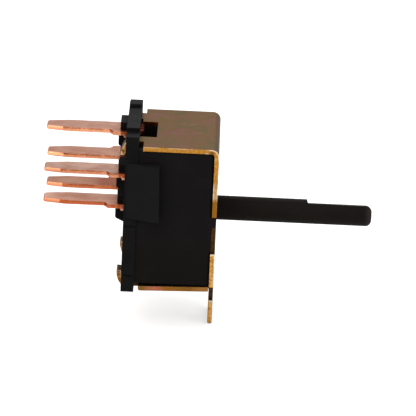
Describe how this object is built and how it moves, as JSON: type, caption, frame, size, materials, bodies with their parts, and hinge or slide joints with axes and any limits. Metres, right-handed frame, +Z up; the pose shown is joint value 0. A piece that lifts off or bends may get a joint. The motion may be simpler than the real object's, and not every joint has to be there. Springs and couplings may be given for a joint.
{
  "type": "blower control switch",
  "caption": "Rotary blower control switch: a folded steel bracket round a moulded housing, with a D-shaft in front and flat blade terminals on a clipped terminal board behind.",
  "frame": {"origin": "where the shaft's axis meets the front face of the bracket's plate", "axes": "+X along the shaft towards the knob, +Z up towards the bracket's top wall, away from the mounting tab, +Y across the switch, away from the connector latch ramp"},
  "size_m": [0.0802, 0.0354, 0.0521],
  "materials": {
    "zinc_plated_steel": "yellow zinc dichromate on folded sheet steel",
    "black_moulding": "satin black glass-filled moulding",
    "shaft_plastic": "satin black moulding",
    "copper": "bare stamped copper alloy",
    "silver_contact": "silver-faced copper rivet",
    "spring_steel": "bright drawn wire and hardened balls",
    "natural_moulding": "natural acetal moulding"
  },
  "bodies": {
    "base": {"bracket": "zinc_plated_steel", "housing": "black_moulding", "terminal_board": "black_moulding", "terminal_battery": "copper", "terminal_low": "copper", "terminal_high": "copper", "terminal_medium_low": "copper", "terminal_medium_high": "copper", "contact_low": "silver_contact", "contact_high": "silver_contact", "contact_medium_low": "silver_contact", "contact_medium_high": "silver_contact", "common_ring": "silver_contact"},
    "rotor": {"control_shaft": "shaft_plastic", "thrust_washer": "spring_steel", "contact_carrier": "natural_moulding", "detent_ball_near": "spring_steel", "detent_ball_far": "spring_steel", "detent_spring": "spring_steel", "contact_bridge": "copper", "bridge_contacts": "silver_contact", "bridge_spring": "spring_steel"}
  },
  "joints": [
    {"name": "shaft_turn", "type": "hinge", "parent": "base", "child": "rotor", "pos_m": [0, 0, 0], "axis": [1, 0, 0], "range_deg": [-120, 0]}
  ]
}
